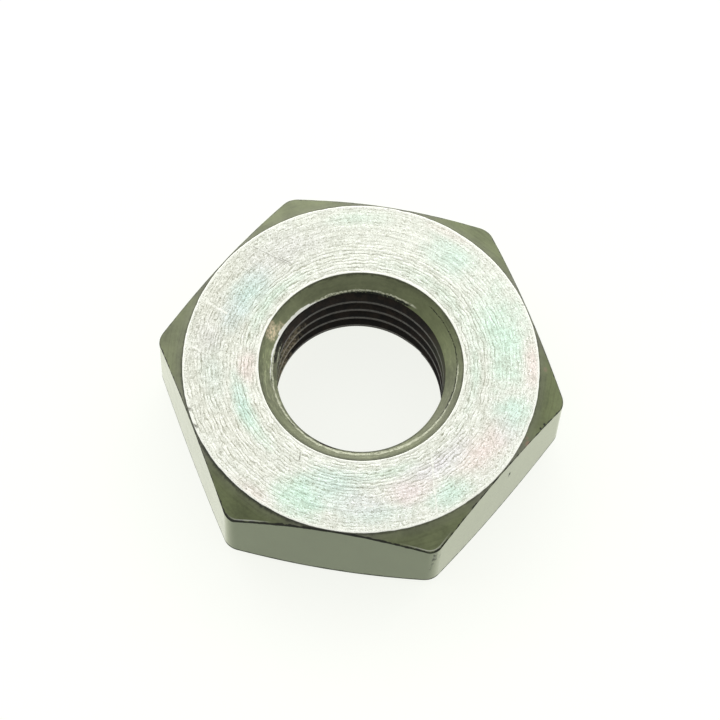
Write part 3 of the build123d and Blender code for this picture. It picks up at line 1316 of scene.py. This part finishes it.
def olive_film(groups, finish):
    """The olive film on the chamfers and countersinks, with its lines, stains and dirt, and painted
    light and shade.
    """
    bench = FinishBench("olive", "olive_colour", groups, finish)
    radius = bench.radius
    marks = bench.turning_marks(rings=4.0, breaks=4.0, wander=2.0)
    grain = bench.grain(5.0)
    y = bench.separate(bench.place)[1]
    # the edges' dark line, of dirt and painted shade, is wider along the front
    wear = bench.wear(bench.step(y, -9.3, -8.0, 0.40, 0.72))
    near_side = bench.patches(NEAR_WALL)
    mottled = bench.patches(MOTTLED_WALL)
    round_wall = bench.vector("DIVIDE", bench.place, bench.combine(radius, radius, 0.9))
    streaks = bench.noise(round_wall, 13.0, detail=4.0, roughness=0.65)
    tones = (
        (bench.spread(grain["Tone"], -1.0, 1.0), 0.10),
        (marks["Light"], 0.07),
        (marks["Dark"], -0.06),
        # painted shade on the chamfer's corners
        (bench.patches(SHADED_CORNERS), -0.30),
        # painted light on parts of the countersink
        (bench.patches(LIT_WALL_PARTS), 0.30),
        # painted light on the countersink's front part
        (near_side, 0.38),
        (mottled, 0.12),
        (mottled, bench.step(streaks, 0.52, 0.66)),
        (mottled, bench.step(streaks, 0.50, 0.36), -0.35),
    )
    cloud = bench.noise(bench.place, 0.8, detail=3.0)
    tone = bench.weighed(bench.spread(cloud, 0.88, 1.12), tones)

    # the chamfers lie outside the face's rim, the countersinks inside it
    rim = nut.top_face_radius
    outside = bench.step(radius, rim - 0.01, rim + 0.01)
    inside = bench.opposite(outside)
    off_corner = bench.math("PINGPONG", bench.plus(bench.angle, 360.0), 180 / FLAT_COUNT)
    near_rim = bench.step(radius, rim + 0.6, rim + 0.1, 0.0, 0.4)
    grey_outside = bench.largest(bench.step(off_corner, 10.0, 20.0), near_rim)
    grey_inside = bench.largest(bench.times(near_side, 0.7), bench.patches(GREY_PARTS))
    grey = bench.largest(bench.times(outside, grey_outside), bench.times(inside, grey_inside))
    films = (("green_film_colour", bench.patches(GREEN_PARTS)), ("grey_film_colour", grey))
    colour = bench.toned(bench.painted(bench.colour("olive_colour"), films), tone)

    # painted shade beside the face's rim, beside the mouth, where the countersink meets the thread and
    # in the groove; a dark border at the mouth; dirt and painted shade along edges
    wander = bench.swing(grain["Height"], 0.22)
    off_rim = bench.plus(bench.minus(radius, rim), wander)
    # painted shade on the chamfer beside the face's rim, stronger near the corners
    shaded_rim = bench.patches(SHADED_RIM_PART)
    rim_base = bench.step(off_corner, 18.0, 26.0, 0.35, 0.12)
    rim_share = bench.times(outside, bench.plus(rim_base, bench.times(shaded_rim, 0.5)))
    rim_width = bench.plus(0.12, bench.times(shaded_rim, 0.10))
    rim_shade = bench.times(rim_share, bench.step(off_rim, rim_width, 0.05))
    off_mouth = bench.plus(bench.minus(nut.mouth_radius, radius), wander)
    # painted shade on the countersink beside its mouth
    shade = bench.times(bench.patches(SHADED_MOUTH), bench.step(off_mouth, 0.36, 0.06, 0.0, 0.62))
    mouth_border = bench.step(off_mouth, 0.12, 0.05, 0.0, 0.5)
    off_bore = bench.plus(bench.minus(radius, nut.bore_radius), wander)
    # painted shade where the countersink meets the thread, on its front part
    bore_shade = bench.times(near_side, bench.step(off_bore, 0.14, 0.08, 0.0, 0.6))
    wall_shade_and_border = bench.largest(shade, mouth_border, bore_shade, bench.lines(GROOVE_SHADOW_LINES))
    edge_dirt_and_shade = bench.largest(rim_shade, wear["Dark Line"], bench.stains(OLIVE_SOOT))

    # bare flecks and stains, then the dirt and painted shade, then light lines that are partly painted
    # highlights, then the painted highlight of lips and the rubbed edges
    mottle = bench.flecks(bench.place, 6.0, 0.36, 0.60, low=0.2, detail=3.0, roughness=0.6)
    # painted highlight of a small lip beside two corners' edges
    lip = bench.times(wear["Lip Highlight"], bench.patches(LIP_PARTS), 0.40)
    layers = (
        ("beige_colour", bench.times(bench.stains(BEIGE_STAINS), mottle)),
        ("stain_colour", bench.stains(OLIVE_STAINS)),
        ("dirt_and_shade_colour", bench.largest(edge_dirt_and_shade, bench.times(inside, wall_shade_and_border))),
        ("lip_and_highlight_colour", bench.times(bench.lines(LIP_LINES), inside)),
        ("bare_and_highlight_colour", bench.largest(lip, wear["Rubbed"])),
    )
    colour = bench.painted(colour, layers)
    bench.bump(bench.plus(grain["Height"], bench.times(marks["Height"], 0.6)), 0.003)
    roughness = bench.spread(grain["Tone"], 0.5, 0.6)
    inputs = {"Base Color": colour, "Metallic": 0.15, "IOR": 1.4, "Roughness": roughness}
    return bench.finished(inputs)


def drawn_flats(groups, finish):
    """The drawn flats and rounded corners under a glossy film, with nicks, and dark edge lines of dirt
    with painted shade at the lower edge.
    """
    bench = FinishBench("drawn_flats", "flat_colour", groups, finish)
    streaks = bench.noise(bench.vector("MULTIPLY", bench.place, (1.0, 1.0, 0.15)), 6.0, detail=3.0)
    grain = bench.grain(5.0)
    # the edges' dark line is wider at the lower edge, painted shade there
    wear = bench.wear(bench.step(bench.height, 1.5, 2.5, 0.20, 0.80))
    flecks = bench.flecks(bench.place, 7.0, 0.38, 0.56, low=0.1, detail=4.0, roughness=0.65)
    nicks = bench.times(bench.scratches(FLAT_NICKS), flecks)
    cloud = bench.noise(bench.place, 0.5, detail=3.0)
    tone = bench.plus(bench.spread(cloud, 0.95, 1.05), bench.spread(streaks, -0.05, 0.05))
    colour = bench.toned(bench.colour("flat_colour"), tone)
    low_share = bench.step(bench.height, 1.5, 2.5, 0.85, 1.0)
    # dirt and painted shade along the edges, and dark nicks
    dark = bench.largest(bench.times(wear["Dark Line"], low_share), nicks)
    smudge_noise = bench.noise(bench.place, 0.8, detail=5.0, roughness=0.6)
    bare = bench.largest(dark, bench.step(smudge_noise, 0.46, 0.62, 0.0, 0.11))
    for angle, share in DULL_FLATS:
        turn = bench.math("ABSOLUTE", bench.turn_from(bench.angle, angle))
        bare = bench.largest(bare, bench.step(turn, 33.0, 28.0, 0.0, share))
    bench.bump(bench.plus(grain["Height"], streaks), 0.001)
    polished = bench.spread(grain["Tone"], 0.17, 0.23)
    inputs = {
        "Base Color": bench.painted(colour, [("dirt_and_shade_colour", dark)]),
        "Metallic": bench.times(bench.opposite(dark), 0.3),
        "Roughness": bench.plus(polished, bench.times(dark, 0.7)),
        "Coat Weight": bench.opposite(bare),
        "Coat Roughness": 0.11,
        "Coat IOR": 1.40,
        "Coat Tint": bench.colour("coat_tint"),
        "Specular Tint": bench.colour("gloss_tint"),
    }
    return bench.finished(inputs)


def thread_wall(groups, finish):
    """The dark wall of the thread, with paler crests partly a painted reflection, film, stains, painted
    shade and the burr's light lines.
    """
    bench = FinishBench("thread_wall", "thread_colour", groups, finish)
    sizes = bpy.context.scene.thin_nut_sizes
    pitch = sizes.thread_pitch / MM
    grain = bench.grain(6.0)
    wear = bench.wear()
    shaded = bench.times(bench.patches(SHADED_THREAD), bench.step(bench.height, 2.2, 3.6))
    climbed = bench.minus(bench.height, sizes.thread_start / MM)
    turned = bench.times(bench.angle, pitch / 360)
    off_root = bench.math("PINGPONG", bench.minus(climbed, turned), pitch / 2)
    off_crest = bench.minus(pitch / 2, bench.plus(off_root, bench.swing(grain["Height"], 0.08)))
    crest = bench.times(bench.step(off_crest, 0.11, 0.06), bench.step(grain["Tone"], 0.3, 0.55))
    dirt = bench.flecks(bench.place, 1.4, 0.40, 0.66, detail=5.0, roughness=0.65)
    specks = bench.flecks(bench.place, 7.0, 0.42, 0.64, low=0.3, detail=3.0, roughness=0.6)
    mottle = bench.flecks(bench.place, 4.5, 0.46, 0.62, detail=4.0, roughness=0.7)
    gaps = bench.times(bench.opposite(mottle), 0.6)
    filmed = bench.times(bench.patches(THREAD_FILM), 1.4)
    layers = (
        ("thread_dirt_colour", dirt),
        # crests painted paler, partly a painted reflection, dimmed under the painted shade
        ("crest_and_glint_colour", bench.less(crest, shaded, 0.85)),
        # the painted shade's olive tone on the thread's top turn
        ("thread_film_and_shade_colour", bench.times(shaded, 0.4)),
        ("thread_stain_colour", bench.times(bench.stains(THREAD_STAINS), specks)),
        ("thread_film_and_shade_colour", bench.math("SUBTRACT", filmed, gaps, clamp=True)),
        # painted shadow beside the burr
        ("dirt_and_shade_colour", bench.lines(BURR_SHADOW)),
        ("lip_and_highlight_colour", bench.lines(THREAD_LINES)),
        ("bare_and_highlight_colour", wear["Rubbed"]),
    )
    colour = bench.painted(bench.colour("thread_colour"), layers)
    bench.bump(grain["Height"], 0.006)
    roughness = bench.spread(grain["Tone"], 0.55, 0.45)
    inputs = {"Base Color": colour, "Metallic": 0.0, "IOR": 1.3, "Roughness": roughness}
    return bench.finished(inputs)


class THINNUT_OT_nut(Operator):
    """Builds the nut with its thread and finishes, in place of its plain solid"""

    bl_idname = "thin_nut.build_nut"
    bl_label = "Build nut"

    def execute(self, context):
        """Makes the four finishes in the order of the zones, then the piece."""
        groups = FinishGroups()
        makers = (turned_face, olive_film, drawn_flats, thread_wall)
        finishes = [make(groups, context.scene.thin_nut_finish) for make in makers]
        piece = NutMesh(context.scene.thin_nut_sizes).make("thin_nut", finishes)
        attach(piece, BODY)
        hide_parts(NODE)
        return {"FINISHED"}


class THINNUT_OT_stage(Operator):
    """Sets the pale floor, the soft light and the camera"""

    bl_idname = "thin_nut.set_stage"
    bl_label = "Set stage"

    def execute(self, context):
        """Lays the floor, lights the scene and aims the camera."""
        settings = context.scene.thin_nut_stage
        self.lay_floor(settings)
        self.light(context.scene, settings)
        self.aim_camera(context.scene)
        return {"FINISHED"}

    def lay_floor(self, settings):
        """The plain pale floor that the nut stands on."""
        side = 0.6
        low = CAD_BOX[0][2]
        corners = [(-side, -side, low), (side, -side, low), (side, side, low), (-side, side, low)]
        mesh = bpy.data.meshes.new("floor")
        mesh.from_pydata(corners, [], [(0, 1, 2, 3)])
        floor = bpy.data.objects.new("floor", mesh)
        bpy.context.scene.collection.objects.link(floor)
        material = bpy.data.materials.new("floor")
        material.use_nodes = True
        shader = material.node_tree.nodes["Principled BSDF"]
        matt_ground = {
            "Base Color": (*settings.floor_colour, 1),
            "Roughness": 0.9,
            "Specular IOR Level": 0.1,
            "Emission Color": (*settings.glow_colour, 1),
            "Emission Strength": settings.floor_glow,
        }
        for label, value in matt_ground.items():
            shader.inputs[label].default_value = value
        mesh.materials.append(material)

    def light(self, scene, settings):
        """Soft light: bright low down behind the nut, weaker in front and overhead."""
        world = bpy.data.worlds.new("soft_studio")
        scene.world = world
        world.use_nodes = True
        world.node_tree.nodes.clear()
        bench = NodeBench(world.node_tree)
        x, y, z = bench.separate(bench.add("ShaderNodeTexCoord").outputs["Generated"])
        level = bench.measure("LENGTH", bench.combine(x, y, 0.0))
        along_x = bench.times(x, cos(settings.back_azimuth))
        along_y = bench.times(y, sin(settings.back_azimuth))
        backwards = bench.math("DIVIDE", bench.plus(along_x, along_y), bench.largest(level, 0.001))
        low_light = bench.step(backwards, -1.0, 1.0, settings.front_strength, settings.back_strength)
        overhead = bench.step(z, 0.6, 1.0)
        low_share = bench.times(low_light, bench.opposite(overhead))
        light = bench.plus(low_share, bench.times(settings.sky_strength, overhead))
        seen = bench.add("ShaderNodeLightPath").outputs["Is Camera Ray"]
        shown = bench.plus(bench.times(light, bench.opposite(seen)), seen)
        sky = {"Color": (*settings.light_colour, 1), "Strength": shown}
        background = bench.add("ShaderNodeBackground", sky)
        bench.add("ShaderNodeOutputWorld", {"Surface": background.outputs[0]})
        scene.view_settings.view_transform = "Standard"

    def aim_camera(self, scene):
        """The camera at the photograph's viewing angle, which was fitted to the nut's outline."""
        target = Vector((-0.11264, 0.30059, 6.0)) * MM
        azimuth = radians(5.9537)
        elevation = radians(66.1023)
        roll = radians(3.6268)
        distance = 157.4065 * MM
        back = Vector((sin(azimuth) * cos(elevation), -cos(azimuth) * cos(elevation), sin(elevation)))
        level = Vector((cos(azimuth), sin(azimuth), 0))
        right = cos(roll) * level + sin(roll) * back.cross(level)
        lens = bpy.data.cameras.new("photo_view")
        lens.sensor_width = 36.0
        lens.sensor_fit = "HORIZONTAL"
        lens.lens = 149.131
        lens.clip_start = 0.005
        camera = bpy.data.objects.new("photo_view", lens)
        scene.collection.objects.link(camera)
        turn = Matrix((right, back.cross(right), back)).transposed().to_4x4()
        camera.matrix_world = Matrix.Translation(target + back * distance) @ turn
        scene.camera = camera


class THINNUT_PT_sidebar(Panel):
    """Thin nut"""

    bl_idname = "THINNUT_PT_sidebar"
    bl_label = "Thin nut"
    bl_space_type = "VIEW_3D"
    bl_region_type = "UI"
    bl_category = "Thin nut"

    def draw(self, context):
        """A box for each group of settings, then the two buttons."""
        for group in SETTINGS:
            settings = getattr(context.scene, group)
            box = self.layout.box()
            for name in settings.__annotations__:
                box.prop(settings, name)
        self.layout.operator(THINNUT_OT_nut.bl_idname)
        self.layout.operator(THINNUT_OT_stage.bl_idname)


SETTINGS = {
    "thin_nut_sizes": ThinNutSizes,
    "thin_nut_finish": ThinNutFinish,
    "thin_nut_stage": ThinNutStage,
}
CLASSES = (*SETTINGS.values(), THINNUT_OT_nut, THINNUT_OT_stage, THINNUT_PT_sidebar)


def register():
    """Registers the classes and puts the settings on the scene."""
    for item in CLASSES:
        bpy.utils.register_class(item)
    for name, group in SETTINGS.items():
        setattr(bpy.types.Scene, name, PointerProperty(type=group))


def unregister():
    """Takes the settings off the scene and unregisters the classes."""
    for name in SETTINGS:
        delattr(bpy.types.Scene, name)
    for item in reversed(CLASSES):
        bpy.utils.unregister_class(item)


def main():
    """Builds the nut and its stage."""
    register()
    bpy.ops.thin_nut.build_nut()
    bpy.ops.thin_nut.set_stage()


if __name__ == "__main__":
    main()
